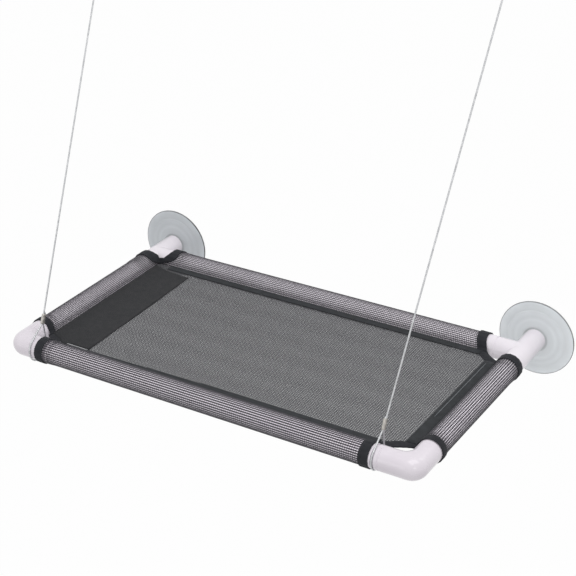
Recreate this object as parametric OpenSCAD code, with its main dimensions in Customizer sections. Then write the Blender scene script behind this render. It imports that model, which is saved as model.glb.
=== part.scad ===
// Window hammock for a cat: a tube frame with a mesh bed, two suction cups at the back,
// and two steel cables from the front corners up to two more suction cups on the glass.
// Millimetres. X runs to the right, Y towards the glass, Z up.
// The origin is on the glass, at the centre of the lower left suction cup.

/* [Frame] */
// Distance between the axes of the left and right tubes
frame_w = 520; // [400:1:700]
// Distance between the axes of the front and rear tubes
frame_d = 267; // [200:1:400]
// Distance from the axis of the rear tube to the glass
glass_gap = 45; // [40:0.5:70]
// Outside diameter of the tubes
pipe_d = 26.7; // [20:0.1:28]
// Wall of the tubes
pipe_wall = 2.3; // [1.5:0.1:3]

/* [Fittings] */
// Length of every arm, from the crossing of the axes to its shoulder
arm_l = 47; // [42:0.5:60]
// Length of the spigot that goes into a tube
spigot_l = 24; // [15:1:40]
// Outside diameter of an elbow
elbow_d = 27.6; // [24:0.1:28]
// Rounding of the elbow's outer corner, to its centre line
bend_r = 5; // [2:0.5:8]
// Fillet in the elbow's inner corner
inner_fillet = 6; // [3:0.5:8]
// Outside diameter of a tee
tee_d = 26.6; // [24:0.1:28]
// Bore of the fittings
fitting_bore = 17; // [10:0.5:18]
// Length of the stub between the rear tube's axis and the cup
stub_l = 39; // [30:0.5:50]
// Width of the collar at the end of a tee's arm
collar_w = 18; // [8:0.5:20]

/* [Cables] */
// Diameter of the steel cable
wire_d = 2; // [1:0.1:3]
// Distance from the left corner to the left cable's loop
left_loop_in = 22.5; // [20:0.5:27]
// Distance from the right corner to the groove that holds the right cable's loop
right_loop_in = 42.5; // [36:0.5:44]
// Width of the groove round an elbow's arm
groove_w = 3.6; // [2.5:0.1:5]
// Depth of that groove
groove_deep = 1; // [0.5:0.1:1.5]
// Height of the upper cups above the lower ones
upper_h = 625; // [500:5:700]
// Distance from the glass to the cable's upper loop
upper_eye = 28; // [26:0.5:34]
// Length of a crimped ferrule
ferrule_l = 12; // [8:0.5:20]
// Distance from a loop's centre to the near end of its ferrule
ferrule_out = 29; // [24:0.5:40]

/* [Cups] */
// Diameter of a suction cup
cup_d = 94; // [70:1:110]
// Width of the flat rim that meets the glass
rim_w = 7; // [4:0.5:12]
// Depth of the hollow behind the rim
cup_hollow = 2.2; // [1:0.1:2.6]
// Diameter of the stem's neck
neck_d = 10; // [6:0.5:12]

/* [Fabric] */
// Thickness of the mesh
mesh_t = 0.5; // [0.4:0.05:1.2]
// Thickness of the black binding on a sleeve's end
binding_t = 1; // [0.8:0.05:2]
// Width of the binding
binding_w = 12.5; // [8:0.5:18]
// Width of the black tape along the bed's edges
tape_w = 14; // [8:0.5:20]
// Thickness of the tape
tape_t = 0.6; // [0.4:0.1:1]
// Width of the dark band across the left end of the bed
band_w = 58; // [45:1:90]
// Number of openings along the bed, in the plain grid that stands for its mesh
net_across = 12; // [6:1:12]
// Width of the mesh between two openings
net_bar = 12; // [6:0.5:16]

/* [Fits] */
// Radial gap between a spigot and its tube
spigot_gap = 0.05; // [0.02:0.01:0.1]
// Radial gap between the stem's neck and its hole
neck_gap = 0.08; // [0.02:0.01:0.1]
// Gap between cloth and plastic, and between a loop and what it turns on
loose_gap = 0.3; // [0.2:0.05:0.5]

/* [Hidden] */
$fn = 96;
pipe_r = pipe_d / 2;
pipe_bore_r = pipe_r - pipe_wall;
spigot_r = pipe_bore_r - spigot_gap;
bore_r = fitting_bore / 2;
elbow_r = elbow_d / 2;
tee_r = tee_d / 2;
rear_y = -glass_gap;
front_y = rear_y - frame_d;
stub_end = glass_gap - stub_l;
plug_l = 16;
plug_r = 10.9;
neck_r = neck_d / 2;
boss_r = tee_r + 0.7;
head_r = 6.8;
head_at = stub_end + 8.4;
head_room = 0.4;
sleeve_in = elbow_r + loose_gap;
sleeve_out = sleeve_in + mesh_t;
ring_out = sleeve_in + binding_t;
bed_edge = sleeve_out + 0.4;
bed_t = 1;
net_x0 = bed_edge + band_w;
net_y0 = front_y + bed_edge + tape_w;
net_l = frame_w - bed_edge - tape_w - net_x0;
net_d = frame_d - 2 * (bed_edge + tape_w);
net_deep = round(net_d * net_across / net_l);
cell_l = net_l / net_across;
cell_d = net_d / net_deep;
wire_r = wire_d / 2;
strand_off = wire_r + 0.1;
loop_steps = 16;
loop_half = 10;
barrel_r = wire_r + 1;
groove_r = elbow_r - groove_deep;
knob_groove_r = 9;
knob_r = 13;
knob_waist = 14;
upper_in = 2;

// Each corner of the bed: where the binding of the front or rear sleeve ends, where that of the
// side sleeve ends, and the middle of the cut between them, measured inwards from the corner
corner_fl = [28, 33, 22, 25];
corner_fr = [47.5, 36.5, 30, 29];
corner_rl = [24, 15.5, 18, 17];
corner_rr = [39, 26, 24, 21];

// Tubes

module tube_x(x0, x1, y, inner, outer) {
  translate([x0, y, 0]) rotate([0, 90, 0]) difference() {
    cylinder(r = outer, h = x1 - x0);
    translate([0, 0, -1]) cylinder(r = inner, h = x1 - x0 + 2);
  }
}

module tube_y(y0, y1, x, inner, outer) {
  translate([x, y0, 0]) rotate([-90, 0, 0]) difference() {
    cylinder(r = outer, h = y1 - y0);
    translate([0, 0, -1]) cylinder(r = inner, h = y1 - y0 + 2);
  }
}

module front_tube() {
  color("white") tube_x(arm_l, frame_w - arm_l, front_y, pipe_bore_r, pipe_r);
}

module rear_tube() {
  color("white") tube_x(arm_l, frame_w - arm_l, rear_y, pipe_bore_r, pipe_r);
}

module left_tube() {
  color("white") tube_y(front_y + arm_l, rear_y - arm_l, 0, pipe_bore_r, pipe_r);
}

module right_tube() {
  color("white") tube_y(front_y + arm_l, rear_y - arm_l, frame_w, pipe_bore_r, pipe_r);
}

// Elbows: a bend with two equal arms, each with a groove for a cable's loop, a fine line, and a spigot

module elbow_arm() {
  g0 = right_loop_in - groove_w / 2;
  g1 = right_loop_in + groove_w / 2;
  line0 = g0 - 5;
  line1 = g0 - 4;
  rotate_extrude() polygon([
    [0, bend_r], [elbow_r, bend_r], [elbow_r, line0 - 0.4], [elbow_r - 0.5, line0],
    [elbow_r - 0.5, line1], [elbow_r, line1 + 0.4], [elbow_r, g0], [groove_r, g0], [groove_r, g1],
    [elbow_r, g1], [elbow_r, arm_l - 0.6], [elbow_r - 0.6, arm_l], [spigot_r, arm_l],
    [spigot_r, arm_l + spigot_l - 1], [spigot_r - 1, arm_l + spigot_l], [0, arm_l + spigot_l]
  ]);
}

// The outer corner, swept round a short arc
module elbow_outside() {
  translate([bend_r, bend_r, 0]) rotate([0, 0, 180]) rotate_extrude(angle = 90) intersection() {
    translate([bend_r, 0]) circle(r = elbow_r);
    translate([0, -elbow_r - 1]) square([elbow_r + bend_r + 1, 2 * elbow_r + 2]);
  }
}

// The inner corner, swept round a wider arc, so that its inside is the fillet
module elbow_inside() {
  wide = elbow_r + inner_fillet;
  translate([wide, wide, 0]) rotate([0, 0, 180]) rotate_extrude(angle = 90)
    translate([wide, 0]) circle(r = elbow_r);
}

// Level top and bottom between the two arcs
module elbow_web() {
  wide = elbow_r + inner_fillet;
  difference() {
    translate([0, 0, -elbow_r]) cube([wide, wide, 2 * elbow_r]);
    translate([wide, wide, -elbow_r - 1]) cylinder(r = wide, h = 2 * elbow_r + 2);
    translate([-1, -1, -elbow_r - 1]) difference() {
      cube([bend_r + 1, bend_r + 1, 2 * elbow_r + 2]);
      translate([bend_r + 1, bend_r + 1, -1]) cylinder(r = bend_r, h = 2 * elbow_r + 4);
    }
  }
}

module elbow() {
  difference() {
    union() {
      elbow_outside();
      elbow_inside();
      elbow_web();
      rotate([0, 90, 0]) elbow_arm();
      rotate([-90, 0, 0]) elbow_arm();
    }
    sphere(r = bore_r);
    rotate([0, 90, 0]) cylinder(r = bore_r, h = arm_l + spigot_l + 1);
    rotate([-90, 0, 0]) cylinder(r = bore_r, h = arm_l + spigot_l + 1);
  }
}

module left_elbow() {
  color("white") translate([0, front_y, 0]) elbow();
}

module right_elbow() {
  color("white") translate([frame_w, front_y, 0]) rotate([0, 0, 90]) elbow();
}

// Tees: a run along Y from the side tube to the stub that carries the cup, and a branch along X

module tee_arm() {
  c0 = arm_l - collar_w;
  rotate_extrude() polygon([
    [0, 0], [tee_r, 0], [tee_r, c0], [tee_r - 0.4, c0 + 0.4], [tee_r - 0.4, c0 + 1.2],
    [tee_r + 0.3, c0 + 1.9], [tee_r + 0.3, arm_l - 0.6], [tee_r - 0.3, arm_l], [spigot_r, arm_l],
    [spigot_r, arm_l + spigot_l - 1], [spigot_r - 1, arm_l + spigot_l], [0, arm_l + spigot_l]
  ]);
}

module tee() {
  difference() {
    union() {
      rotate([0, 90, 0]) tee_arm();
      rotate([90, 0, 0]) tee_arm();
      rotate([-90, 0, 0]) cylinder(r = tee_r, h = stub_l);
    }
    rotate([0, 90, 0]) cylinder(r = bore_r, h = arm_l + spigot_l + 1);
    rotate([90, 0, 0]) translate([0, 0, -stub_l - 1])
      cylinder(r = bore_r, h = stub_l + arm_l + spigot_l + 2);
    rotate([-90, 0, 0]) translate([0, 0, stub_l - plug_l])
      cylinder(r = plug_r + spigot_gap, h = plug_l + 1);
  }
}

module left_tee() {
  color("white") translate([0, rear_y, 0]) tee();
}

module right_tee() {
  color("white") translate([frame_w, rear_y, 0]) rotate([0, 180, 0]) tee();
}

// Plugs pressed into the stubs: the cup's soft stem snaps through each one

module stub_plug(x) {
  translate([x, 0, 0]) rotate([90, 0, 0]) rotate_extrude() polygon([
    [neck_r + neck_gap, stub_end], [plug_r, stub_end], [plug_r, stub_end + plug_l],
    [head_r + head_room, stub_end + plug_l], [head_r + head_room, head_at - 0.1],
    [neck_r + neck_gap, head_at - 0.1]
  ]);
}

module left_stub_plug() {
  color("gainsboro") stub_plug(0);
}

module right_stub_plug() {
  color("gainsboro") stub_plug(frame_w);
}

// Suction cups: a thin dished disc with a thick middle, a neck and a head

module cup(x, z) {
  cup_r = cup_d / 2;
  rim_in = cup_r - rim_w;
  slope = cup_r - boss_r;
  translate([x, 0, z]) rotate([90, 0, 0]) rotate_extrude() polygon([
    [rim_in, 0], [cup_r - 0.4, 0], [cup_r, 0.5], [cup_r, 1.5], [cup_r - 0.5, 2],
    [boss_r + 0.67 * slope, 2.6], [boss_r + 0.64 * slope, 3], [boss_r + 0.36 * slope, 3.8],
    [boss_r + 0.21 * slope, 4.6], [boss_r + 0.09 * slope, 5.4],
    [boss_r, stub_end], [neck_r, stub_end], [neck_r, head_at], [head_r, head_at],
    [head_r, head_at + 2], [4, head_at + 5], [0, head_at + 5],
    [0, cup_hollow], [rim_in * 0.45, cup_hollow * 0.8], [rim_in * 0.75, cup_hollow * 0.45]
  ]);
}

module lower_left_cup() {
  color("lightblue") cup(0, 0);
}

module lower_right_cup() {
  color("lightblue") cup(frame_w, 0);
}

module upper_left_cup() {
  color("lightblue") cup(upper_in, upper_h);
}

module upper_right_cup() {
  color("lightblue") cup(frame_w - upper_in, upper_h);
}

// Knobs on the upper cups: a waisted bobbin that the cable's loop hangs on

module knob(x) {
  waist0 = upper_eye - knob_waist / 2;
  waist1 = upper_eye + knob_waist / 2;
  translate([x, 0, upper_h]) rotate([90, 0, 0]) rotate_extrude() polygon([
    [neck_r + neck_gap, stub_end], [knob_r, stub_end], [knob_r, waist0 - 1.5],
    [knob_r - 1.5, waist0], [knob_groove_r, waist0], [knob_groove_r, waist1],
    [knob_r - 1.5, waist1], [knob_r, waist1 + 1], [knob_r, waist1 + 3], [knob_r - 1.5, waist1 + 4.5],
    [0, waist1 + 4.5], [0, head_at + 5.4], [head_r + head_room, head_at + 5.4],
    [head_r + head_room, head_at - 0.1], [neck_r + neck_gap, head_at - 0.1]
  ]);
}

module upper_left_knob() {
  color("white") knob(upper_in);
}

module upper_right_knob() {
  color("white") knob(frame_w - upper_in);
}

// Bed: flat mesh between the tubes, with its corners cut away inside the bindings

function inner_cut(c) = [
  [c[0] + binding_w, bed_edge],
  [c[2] + 0.8 * binding_w, c[3] + 0.8 * binding_w],
  [bed_edge, c[1] + binding_w]
];
function from_fl(p) = [p[0], front_y + p[1]];
function from_fr(p) = [frame_w - p[0], front_y + p[1]];
function from_rl(p) = [p[0], rear_y - p[1]];
function from_rr(p) = [frame_w - p[0], rear_y - p[1]];

// How far from its corner, along both tubes together, a cut reaches
function cut_reach(c) = max([for (p = inner_cut(c)) p[0] + p[1]]);

// Openings between the band and the tapes, apart from one that would break into a cut corner
module bed_openings() {
  open_l = cell_l - net_bar;
  open_d = cell_d - net_bar;
  for (i = [0:net_across - 1], j = [0:net_deep - 1]) {
    x = net_x0 + i * cell_l + net_bar / 2;
    y = net_y0 + j * cell_d + net_bar / 2;
    from_right = frame_w - x - open_l;
    clear_front = from_right + y - front_y > cut_reach(corner_fr) + net_bar / 4;
    clear_rear = from_right + rear_y - y - open_d > cut_reach(corner_rr) + net_bar / 4;
    if (clear_front && clear_rear) translate([x, y]) square([open_l, open_d]);
  }
}

module mesh_bed() {
  cut_fl = inner_cut(corner_fl);
  cut_fr = inner_cut(corner_fr);
  cut_rl = inner_cut(corner_rl);
  cut_rr = inner_cut(corner_rr);
  color("gray") translate([0, 0, -bed_t / 2]) linear_extrude(height = bed_t) difference() {
    polygon([
      from_fl(cut_fl[0]), from_fr(cut_fr[0]), from_fr(cut_fr[1]), from_fr(cut_fr[2]),
      from_rr(cut_rr[2]), from_rr(cut_rr[1]), from_rr(cut_rr[0]),
      from_rl(cut_rl[0]), from_rl(cut_rl[1]), from_rl(cut_rl[2]),
      from_fl(cut_fl[2]), from_fl(cut_fl[1])
    ]);
    bed_openings();
  }
}

// Sleeves: mesh tubes sewn along the bed's edges, round the frame

module front_sleeve() {
  color("dimgray") tube_x(corner_fl[0] + binding_w, frame_w - corner_fr[0] - binding_w, front_y,
    sleeve_in, sleeve_out);
}

module rear_sleeve() {
  color("dimgray") tube_x(corner_rl[0] + binding_w, frame_w - corner_rr[0] - binding_w, rear_y,
    sleeve_in, sleeve_out);
}

module left_sleeve() {
  color("dimgray") tube_y(front_y + corner_fl[1] + binding_w, rear_y - corner_rl[1] - binding_w, 0,
    sleeve_in, sleeve_out);
}

module right_sleeve() {
  color("dimgray") tube_y(front_y + corner_fr[1] + binding_w, rear_y - corner_rr[1] - binding_w,
    frame_w, sleeve_in, sleeve_out);
}

// Bindings: black tape round the two sleeve ends of a corner and along the cut between them

module binding_cut(points) {
  translate([0, 0, -0.9]) linear_extrude(height = 1.8) polygon(points);
}

function outer_cut(c) = [[bed_edge - 0.5, c[1]], [c[2], c[3]], [c[0], bed_edge - 0.5]];
function cut_strip(c) = concat(
  [[c[0] + binding_w, bed_edge - 0.5]], inner_cut(c),
  [[bed_edge - 0.5, c[1] + binding_w]], outer_cut(c)
);

module front_left_binding() {
  color("black") union() {
    tube_x(corner_fl[0], corner_fl[0] + binding_w, front_y, sleeve_in, ring_out);
    tube_y(front_y + corner_fl[1], front_y + corner_fl[1] + binding_w, 0, sleeve_in, ring_out);
    binding_cut([for (p = cut_strip(corner_fl)) from_fl(p)]);
  }
}

module front_right_binding() {
  color("black") union() {
    tube_x(frame_w - corner_fr[0] - binding_w, frame_w - corner_fr[0], front_y, sleeve_in, ring_out);
    tube_y(front_y + corner_fr[1], front_y + corner_fr[1] + binding_w, frame_w, sleeve_in, ring_out);
    binding_cut([for (p = cut_strip(corner_fr)) from_fr(p)]);
  }
}

module rear_left_binding() {
  color("black") union() {
    tube_x(corner_rl[0], corner_rl[0] + binding_w, rear_y, sleeve_in, ring_out);
    tube_y(rear_y - corner_rl[1] - binding_w, rear_y - corner_rl[1], 0, sleeve_in, ring_out);
    binding_cut([for (p = cut_strip(corner_rl)) from_rl(p)]);
  }
}

module rear_right_binding() {
  color("black") union() {
    tube_x(frame_w - corner_rr[0] - binding_w, frame_w - corner_rr[0], rear_y, sleeve_in, ring_out);
    tube_y(rear_y - corner_rr[1] - binding_w, rear_y - corner_rr[1], frame_w, sleeve_in, ring_out);
    binding_cut([for (p = cut_strip(corner_rr)) from_rr(p)]);
  }
}

// Tapes and the dark end band, sewn on top of the bed

module tape(x0, x1, y0, y1) {
  color("black") translate([x0, y0, bed_t / 2]) cube([x1 - x0, y1 - y0, tape_t]);
}

module front_tape() {
  tape(bed_edge + band_w + 1, frame_w - corner_fr[0] - binding_w - 1, front_y + bed_edge,
    front_y + bed_edge + tape_w);
}

module rear_tape() {
  tape(corner_rl[0] + binding_w + 1, frame_w - corner_rr[0] - binding_w - 1,
    rear_y - bed_edge - tape_w, rear_y - bed_edge);
}

module right_tape() {
  tape(frame_w - bed_edge - tape_w, frame_w - bed_edge, front_y + corner_fr[1] + binding_w + 1,
    rear_y - corner_rr[1] - binding_w - 1);
}

module left_band() {
  cut = inner_cut(corner_fl);
  inside = bed_edge + band_w;
  front_at = bed_edge + tape_w;
  rear_at = max(bed_edge + tape_w, corner_rl[1] + binding_w + 1);
  color("black") translate([0, 0, bed_t / 2]) linear_extrude(height = tape_t) polygon([
    [bed_edge, front_y + cut[2][1] + 1.5], [cut[1][0] + 1, front_y + cut[1][1] + 2],
    [cut[0][0] + 7.5, front_y + front_at + 1], [inside, front_y + front_at - 2],
    [inside, rear_y - rear_at - 1.5], [bed_edge, rear_y - rear_at - 0.5]
  ]);
}

// Cables: one wire from the tail at the lower ferrule, round the elbow's arm, up through both
// ferrules, round the knob and back to the tail at the upper ferrule

function unit(v) = v / norm(v);
function left_low() = [left_loop_in, front_y, 0];
function right_low() = [frame_w - right_loop_in, front_y, 0];
function left_top() = [upper_in, -upper_eye, upper_h];
function right_top() = [frame_w - upper_in, -upper_eye, upper_h];
function left_loop_r() = (elbow_r + loose_gap + wire_r) / cos(loop_half);
function right_loop_r() = (groove_r + loose_gap + wire_r) / cos(loop_half);
function lean(low, top) = atan2(top[1] - low[1], top[2]);
function top_loop_r(low, top) = (knob_groove_r + loose_gap + wire_r) / cos(lean(low, top)) / cos(loop_half);

// A loop: tail, round the circle, and out again, in the plane of the directions a and b.
// The tail of the left cable lies to the one side, that of the right cable to the other
function loop(c, a, b, r) = let (t = acos(r / ferrule_out), steps = loop_steps) concat(
  [c + (ferrule_out + ferrule_l + 2) * a - strand_off * b, c + ferrule_out * a - strand_off * b],
  [for (i = [0:steps]) let (w = -t - i * (360 - 2 * t) / steps) c + r * (cos(w) * a + sin(w) * b)],
  [c + ferrule_out * a + strand_off * b, c + (ferrule_out + ferrule_l) * a + strand_off * b]
);
function reversed(list) = [for (i = [len(list) - 1:-1:0]) list[i]];
function cable_path(low, top, r, hand) = let (
    up = [0, sin(lean(low, top)), cos(lean(low, top))],
    side = hand * [0, -up[2], up[1]],
    down = unit(low - top),
    across = hand * unit([down[1], -down[0], 0])
  ) concat(
    loop(low, up, side, r),
    reversed(loop(top, down, across, top_loop_r(low, top)))
  );

// A round tube along a list of points
function along(p, i) = unit(p[min(i + 1, len(p) - 1)] - p[max(i - 1, 0)]);
function square_to(n, t) = unit(n - (n * t) * t);
function normals(p) = [
  for (i = 0, n = square_to([1, 0.3, 0.2], along(p, 0)); i < len(p);
    i = i + 1, n = i < len(p) ? square_to(n, along(p, i)) : n) n
];

module wire(p) {
  sides = 8;
  ns = normals(p);
  rings = len(p);
  points = [
    for (i = [0:rings - 1]) let (t = along(p, i), n = ns[i], m = cross(t, n))
      for (k = [0:sides - 1]) p[i] + wire_r * (cos(k * 360 / sides) * n + sin(k * 360 / sides) * m)
  ];
  walls = [
    for (i = [0:rings - 2]) for (k = [0:sides - 1])
      [i * sides + k, (i + 1) * sides + k, (i + 1) * sides + (k + 1) % sides, i * sides + (k + 1) % sides]
  ];
  first = [for (k = [0:sides - 1]) k];
  last = [for (k = [sides - 1:-1:0]) (rings - 1) * sides + k];
  polyhedron(points = points, faces = concat(walls, [first, last]), convexity = 6);
}

module left_cable() {
  color("silver") wire(cable_path(left_low(), left_top(), left_loop_r(), 1));
}

module right_cable() {
  color("silver") wire(cable_path(right_low(), right_top(), right_loop_r(), -1));
}

// Ferrules: two barrels side by side, one for the cable and one for its tail

module ferrule() {
  hole_r = wire_r + 0.05;
  difference() {
    union() {
      translate([0, strand_off, 0]) cylinder(r = barrel_r, h = ferrule_l);
      translate([0, -strand_off, 0]) cylinder(r = barrel_r, h = ferrule_l);
      translate([-barrel_r, -strand_off, 0]) cube([2 * barrel_r, 2 * strand_off, ferrule_l]);
    }
    translate([0, strand_off, -1]) cylinder(r = hole_r, h = ferrule_l + 2);
    translate([0, -strand_off, -1]) cylinder(r = hole_r, h = ferrule_l + 2);
  }
}

module lower_ferrule(low, top) {
  color("lightgray") translate(low) rotate([-lean(low, top), 0, 0]) translate([0, 0, ferrule_out])
    ferrule();
}

module upper_ferrule(low, top) {
  d = unit(low - top);
  color("lightgray") translate(top) rotate([0, acos(d[2]), atan2(d[1], d[0])])
    translate([0, 0, ferrule_out]) ferrule();
}

module left_lower_ferrule() {
  lower_ferrule(left_low(), left_top());
}

module right_lower_ferrule() {
  lower_ferrule(right_low(), right_top());
}

module left_upper_ferrule() {
  upper_ferrule(left_low(), left_top());
}

module right_upper_ferrule() {
  upper_ferrule(right_low(), right_top());
}

front_tube();
rear_tube();
left_tube();
right_tube();
left_elbow();
right_elbow();
left_tee();
right_tee();
left_stub_plug();
right_stub_plug();
lower_left_cup();
lower_right_cup();
upper_left_cup();
upper_right_cup();
upper_left_knob();
upper_right_knob();
mesh_bed();
front_sleeve();
rear_sleeve();
left_sleeve();
right_sleeve();
left_band();
front_tape();
rear_tape();
right_tape();
front_left_binding();
front_right_binding();
rear_left_binding();
rear_right_binding();
left_cable();
right_cable();
left_lower_ferrule();
right_lower_ferrule();
left_upper_ferrule();
right_upper_ferrule();
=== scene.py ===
import math
from collections import namedtuple

import bmesh
import bpy
from mathutils import Matrix, Vector


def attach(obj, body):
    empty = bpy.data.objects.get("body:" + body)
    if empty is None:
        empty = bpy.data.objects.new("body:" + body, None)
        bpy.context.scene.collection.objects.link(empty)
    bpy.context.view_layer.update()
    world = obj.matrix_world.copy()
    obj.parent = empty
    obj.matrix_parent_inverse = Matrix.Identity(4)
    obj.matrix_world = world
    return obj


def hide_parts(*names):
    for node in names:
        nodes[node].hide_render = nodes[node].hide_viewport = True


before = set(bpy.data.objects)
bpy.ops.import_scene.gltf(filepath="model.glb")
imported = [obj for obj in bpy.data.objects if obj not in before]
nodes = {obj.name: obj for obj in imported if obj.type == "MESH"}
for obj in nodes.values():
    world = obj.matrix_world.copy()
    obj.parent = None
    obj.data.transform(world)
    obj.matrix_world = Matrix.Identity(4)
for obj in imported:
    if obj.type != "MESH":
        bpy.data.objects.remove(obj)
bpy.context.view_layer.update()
scene = bpy.context.scene
scene.view_settings.view_transform = "Standard"

# Sizes in metres, as in the part's source: the tubes' axes, the fittings' arms and the cups
RIGHT = 0.520
FRONT = -0.312
REAR = -0.045
ARM_L = 0.047
CUP_R = 0.047

# Upper cups: their height, how far inwards they sit, and how far the cables' loops are from the glass
UPPER_H = 0.625
UPPER_IN = 0.002
UPPER_EYE = 0.028

# Cables: the wire, the loops' distances from the corners and their radii on the elbows and knobs
WIRE_R = 0.001
LEFT_LOOP = 0.0225
RIGHT_LOOP = 0.0425
LEFT_LOOP_R = 0.0151
RIGHT_LOOP_R = 0.0141
KNOB_LOOP_R = 0.0103
# The loops are a little wide, as their solids of 16 straight steps are
LOOP_SLACK = math.cos(math.radians(10))
LOOP_STEPS = 32
# The rope: distance between points, strands, points round it, length of one turn, and half the depth of the
# grooves between the strands, as a share of the radius
ROPE_STEP = 0.0011
ROPE_STRANDS = 6
ROPE_SIDES = 24
ROPE_LAY = 0.013
ROPE_GROOVE = 0.075

# Ferrules: distance from the loop's centre, length, half the distance between the two wires in them, the tail
# of wire beyond them, half their width and thickness, and points round them
FERRULE_OUT = 0.029
FERRULE_L = 0.012
STRAND_OFF = 0.0011
WIRE_TAIL = 0.002
FERRULE_HALF_W = 0.0033
FERRULE_HALF_T = 0.0021
FERRULE_SIDES = 28
# Height along the ferrule, and the width and thickness there as shares of the full ones
FERRULE_STATIONS = (
    (0.0, 0.88, 0.84), (0.0006, 1.0, 1.0), (0.0022, 1.0, 1.0), (0.0034, 1.1, 0.78), (0.0046, 1.0, 0.97),
    (0.0060, 0.94, 1.02), (0.0074, 1.0, 0.97), (0.0086, 1.1, 0.78), (0.0098, 1.0, 1.0), (0.0114, 1.0, 1.0),
    (FERRULE_L, 0.88, 0.84),
)

# The cloth's middle surface round a tube and round a fitting, and the length over which it comes down from
# one to the other
TUBE_CLOTH_R = 0.01358
FITTING_CLOTH_R = 0.01405
STEP_DOWN = 0.008
# Room that a binding leaves round the fitting that crosses it
FITTING_ROOM = 0.0145
# The seam's distance from a tube's axis, and the hem behind it: its width, how far it drops and over what
# length
SEAM = 0.0166
HEM = 0.0110
HEM_DROP = 0.0011
HEM_DROP_RUN = 0.003
# Two points of a sleeve's section, inwards from the tube's axis and above it
TOP = Vector((0, TUBE_CLOTH_R))
AT_SEAM = Vector((SEAM, 0))

# Woven cloth: distance between the threads, width and thickness of the straight and of the crimped ones, how
# far the crimp goes up and down, and the range of each kind's tones, as shares of the yarn's range
Cloth = namedtuple(
    "Cloth", "pitch straight_w straight_t crimped_w crimped_t crimp straight_tones crimped_tones",
)


def sleeve_cloth(pitch, thick, straight, crimped):
    """Cloth pulled flat round a tube; straight and crimped are the shares of the pitch that those threads
    cover, and thick is the thickness of the straight ones."""
    return Cloth(
        pitch=pitch, straight_w=straight * pitch, straight_t=thick, crimped_w=crimped * pitch,
        crimped_t=0.00020, crimp=0.00010, straight_tones=(0.0, 0.20), crimped_tones=(0.25, 0.50),
    )


# The threads are closest at the left and the rear. All of them are drawn coarser than the real ones, which
# would vanish in the render
SLEEVE_CLOTH = {
    "front": sleeve_cloth(0.00264, 0.00045, 0.49, 0.15),
    "right": sleeve_cloth(0.00264, 0.00045, 0.43, 0.20),
    "rear": sleeve_cloth(0.00228, 0.00020, 0.425, 0.20),
    "left": sleeve_cloth(0.00195, 0.00022, 0.44, 0.20),
}
# In the bed the threads stand up, and its two kinds of thread have the same tones
BED_CLOTH = Cloth(
    pitch=0.00264, straight_w=0.00145, straight_t=0.00055, crimped_w=0.00105, crimped_t=0.00045,
    crimp=0.00045, straight_tones=(0.58, 0.80), crimped_tones=(0.58, 0.80),
)
# How far the bed hangs in its middle, and the least that a cut takes off a corner beyond the seams
BED_SAG = 0.0015
BED_CUT_LEAST = 0.001
# Straight pieces along each straight thread
SLEEVE_STEPS = 90
BED_STEPS = 24

# Each sleeve runs from one corner to another
SLEEVES = {"front": ("fl", "fr"), "rear": ("rl", "rr"), "left": ("fl", "rl"), "right": ("fr", "rr")}
BINDING_NODES = {
    "fl": "front_left_binding", "fr": "front_right_binding",
    "rl": "rear_left_binding", "rr": "rear_right_binding",
}

# Binding rings: on which corner and sleeve, the distance of the open edge from the corner at the ring's inner
# side, how much further away its top is, its width, and the height, as a share of the radius, under which it
# fills the crotch between the two tubes
Ring = namedtuple("Ring", "edge slant width crotch")
RINGS = {
    ("fl", "front"): Ring(0.0290, 0.0000, 0.0113, 0.0),
    ("fl", "left"): Ring(0.0300, 0.0035, 0.0098, 0.0),
    ("fr", "front"): Ring(0.0468, 0.0000, 0.0115, 0.0),
    ("fr", "right"): Ring(0.0340, 0.0020, 0.0092, 0.0),
    ("rl", "rear"): Ring(0.0125, 0.0165, 0.0122, 0.52),
    ("rl", "left"): Ring(0.0060, 0.0100, 0.0138, 0.64),
    ("rr", "rear"): Ring(0.0350, 0.0060, 0.0125, 0.0),
    ("rr", "right"): Ring(0.0300, 0.0000, 0.0110, 0.0),
}
# A ring's thickness, its height over the sleeve, the steps round it, its least width, and the share of the
# radius over which a crotch fills up
RING_T = 0.0011
RING_LIFT = 0.0001
RING_STEPS = 120
RING_LEAST_W = 0.0015
CROTCH_FADE = 0.12

# The binding along a corner's cut: thickness, how far its ends go past the seams, greatest width, how far it
# bows, as a share of its length, steps along it, and how far from the seams both ends of a cut have to be for
# it to be bound
CUT_T = 0.0021
CUT_PAST_SEAM = 0.0015
CUT_W = 0.011
CUT_BOW = 0.18
CUT_STEPS = 30
CUT_LEAST = 0.005

# Stitches: distance, length and radius, drawn a little thicker than real thread so that they show
STITCH_PITCH = 0.0032
STITCH_L = 0.0022
STITCH_R = 0.00022
# Distances of the stitches from a binding's inner edge and from a tape's near and far edges, and the steps of
# a tape's rows
BINDING_SEAM_IN = 0.0019
TAPE_SEAM_NEAR = 0.0018
TAPE_SEAM_FAR = 0.0016
TAPE_SEAM_STEPS = 60

# Tapes on the bed: height of their underside, thickness, length of their steps, and the near edge's distance
# from the tube's axis
TAPE_LIFT = 0.00085
TAPE_T = 0.0007
TAPE_STEP = 0.006
TAPE_FROM = SEAM - 0.0006
# The far edge's distances, evenly spaced along each tape, and the rear tape's start from the left corner
TAPE_FAR = {"front": (0.0208, 0.0280, 0.0284), "rear": (0.0266, 0.0258), "right": (0.0295, 0.0295)}
REAR_TAPE_START = 0.0360

# Thin cords sewn on, and a light one that is a painted highlight along the band's front edge: thickness and
# how deep they sit, then for each its edges' distances from the tube's axis and its ends, the piping's from
# the front and the rear corner and the highlight's both from the left corner
CORD_T = 0.0006
CORD_SUNK = 0.0002
PIPING_NEAR = 0.0245
PIPING_FAR = 0.0254
PIPING_ENDS = (0.095, 0.042)
# The light cord along the band's front edge, a painted highlight
EDGE_HIGHLIGHT_NEAR = 0.0228
EDGE_HIGHLIGHT_FAR = 0.0243
EDGE_HIGHLIGHT_ENDS = (0.0475, 0.0780)
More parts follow.
